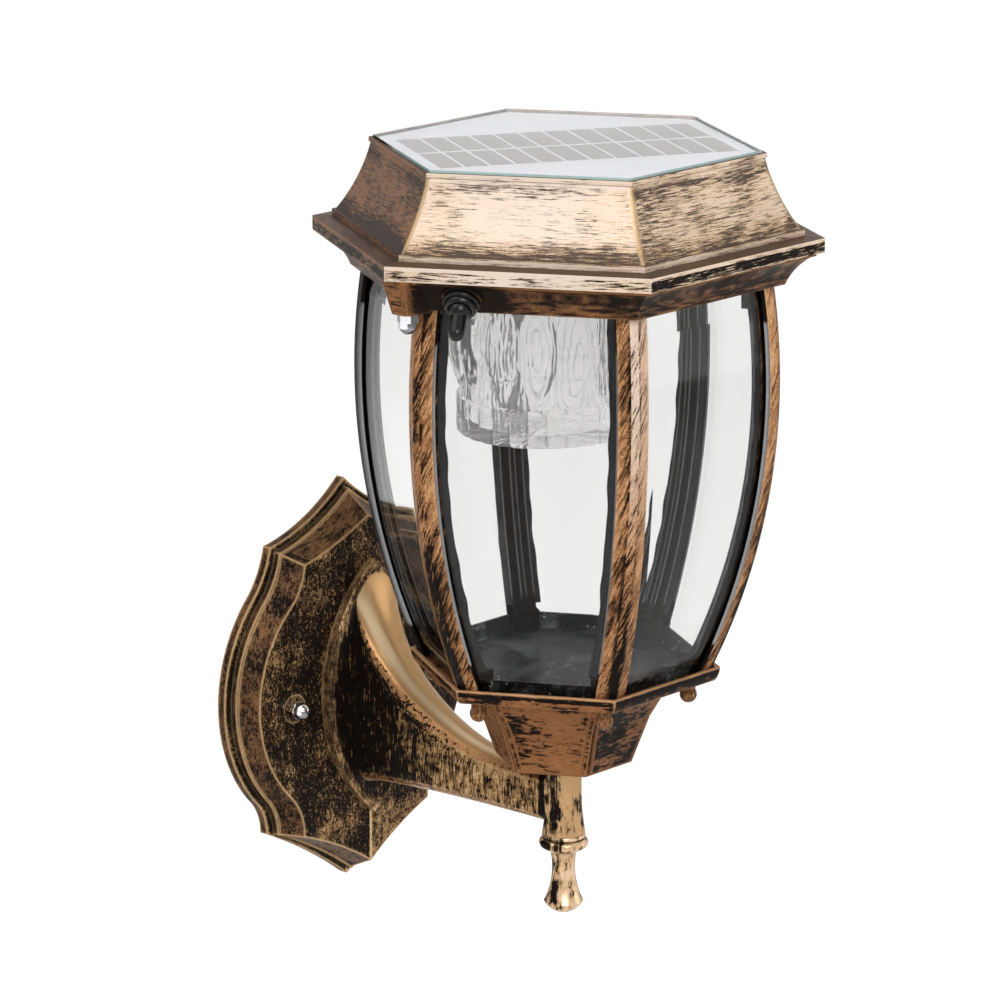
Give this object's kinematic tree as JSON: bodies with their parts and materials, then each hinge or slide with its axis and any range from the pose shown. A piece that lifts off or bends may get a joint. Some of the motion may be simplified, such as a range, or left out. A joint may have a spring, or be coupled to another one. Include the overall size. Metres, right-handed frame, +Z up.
{
  "type": "solar wall light",
  "caption": "Six-sided solar wall lantern: flared hood with solar panel, bowed ribs and bevelled bent panes, cut-glass diffuser, toggle switch, horn arm and stepped wall plate.",
  "frame": {"origin": "on the wall, midway between the two wall screws of the crossbar", "axes": "+Z up, -Y away from the wall, X along the wall"},
  "size_m": [0.2, 0.2106, 0.3211],
  "materials": {
    "antique_copper": "black lacquer brushed with copper",
    "antique_gold": "black lacquer rubbed with old gold",
    "clear_glass": "clear, bevelled",
    "cut_glass": "clear, pressed petals",
    "chrome": "polished",
    "zinc_steel": "zinc plated",
    "black_sheet": "satin black",
    "black_plastic": "matt black",
    "black_rubber": "matt black",
    "seal_rubber": "grey sealant",
    "solar_cell": "satin grey silicon",
    "white_sheet": "matt white",
    "circuit_board": "green lacquer",
    "white_board": "white lacquer",
    "light_chip": "yellow phosphor",
    "cell_wrap": "shrink wrap"
  },
  "bodies": {
    "lantern": {"hood": "antique_copper", "cage_ring": "antique_copper", "base_casting": "antique_copper", "rib_foot_screws": "antique_copper", "backplate": "antique_gold", "arm": "antique_gold", "finial": "antique_gold", "solar_glass": "clear_glass", "crystal": "cut_glass", "hood_cap_nuts": "chrome", "plate_cap_nuts": "chrome", "wall_crossbar": "zinc_steel", "wall_studs": "zinc_steel", "arm_screws": "zinc_steel", "hood_studs": "zinc_steel", "rib_top_screws": "zinc_steel", "lamp_plate_screws": "zinc_steel", "crystal_screws": "zinc_steel", "tie_rod": "zinc_steel", "rod_washer": "zinc_steel", "rod_nut": "zinc_steel", "switch_nut": "zinc_steel", "floor_pan": "black_sheet", "lamp_plate": "black_sheet", "crystal_ring": "black_plastic", "switch_body": "black_plastic", "battery_holder": "black_plastic", "board_standoffs": "black_plastic", "boot_collar": "black_rubber", "panel_seal": "seal_rubber", "solar_cells": "solar_cell", "solar_backsheet": "white_sheet", "light_board": "white_board", "light_chips": "light_chip", "control_board": "circuit_board", "battery_cell": "cell_wrap", "rib_1": "antique_copper", "pane_1": "clear_glass", "rib_2": "antique_copper", "pane_2": "clear_glass", "rib_3": "antique_copper", "pane_3": "clear_glass", "rib_4": "antique_copper", "pane_4": "clear_glass", "rib_5": "antique_copper", "pane_5": "clear_glass", "rib_6": "antique_copper", "pane_6": "clear_glass"},
    "toggle": {"boot_sleeve": "black_rubber", "switch_lever": "zinc_steel"}
  },
  "joints": [
    {"name": "toggle_switch", "type": "hinge", "parent": "lantern", "child": "toggle", "pos_m": [-0.08223, -0.14549, 0.19015], "axis": [-0.5, 0.866, 0], "range_deg": [0, 32]}
  ]
}
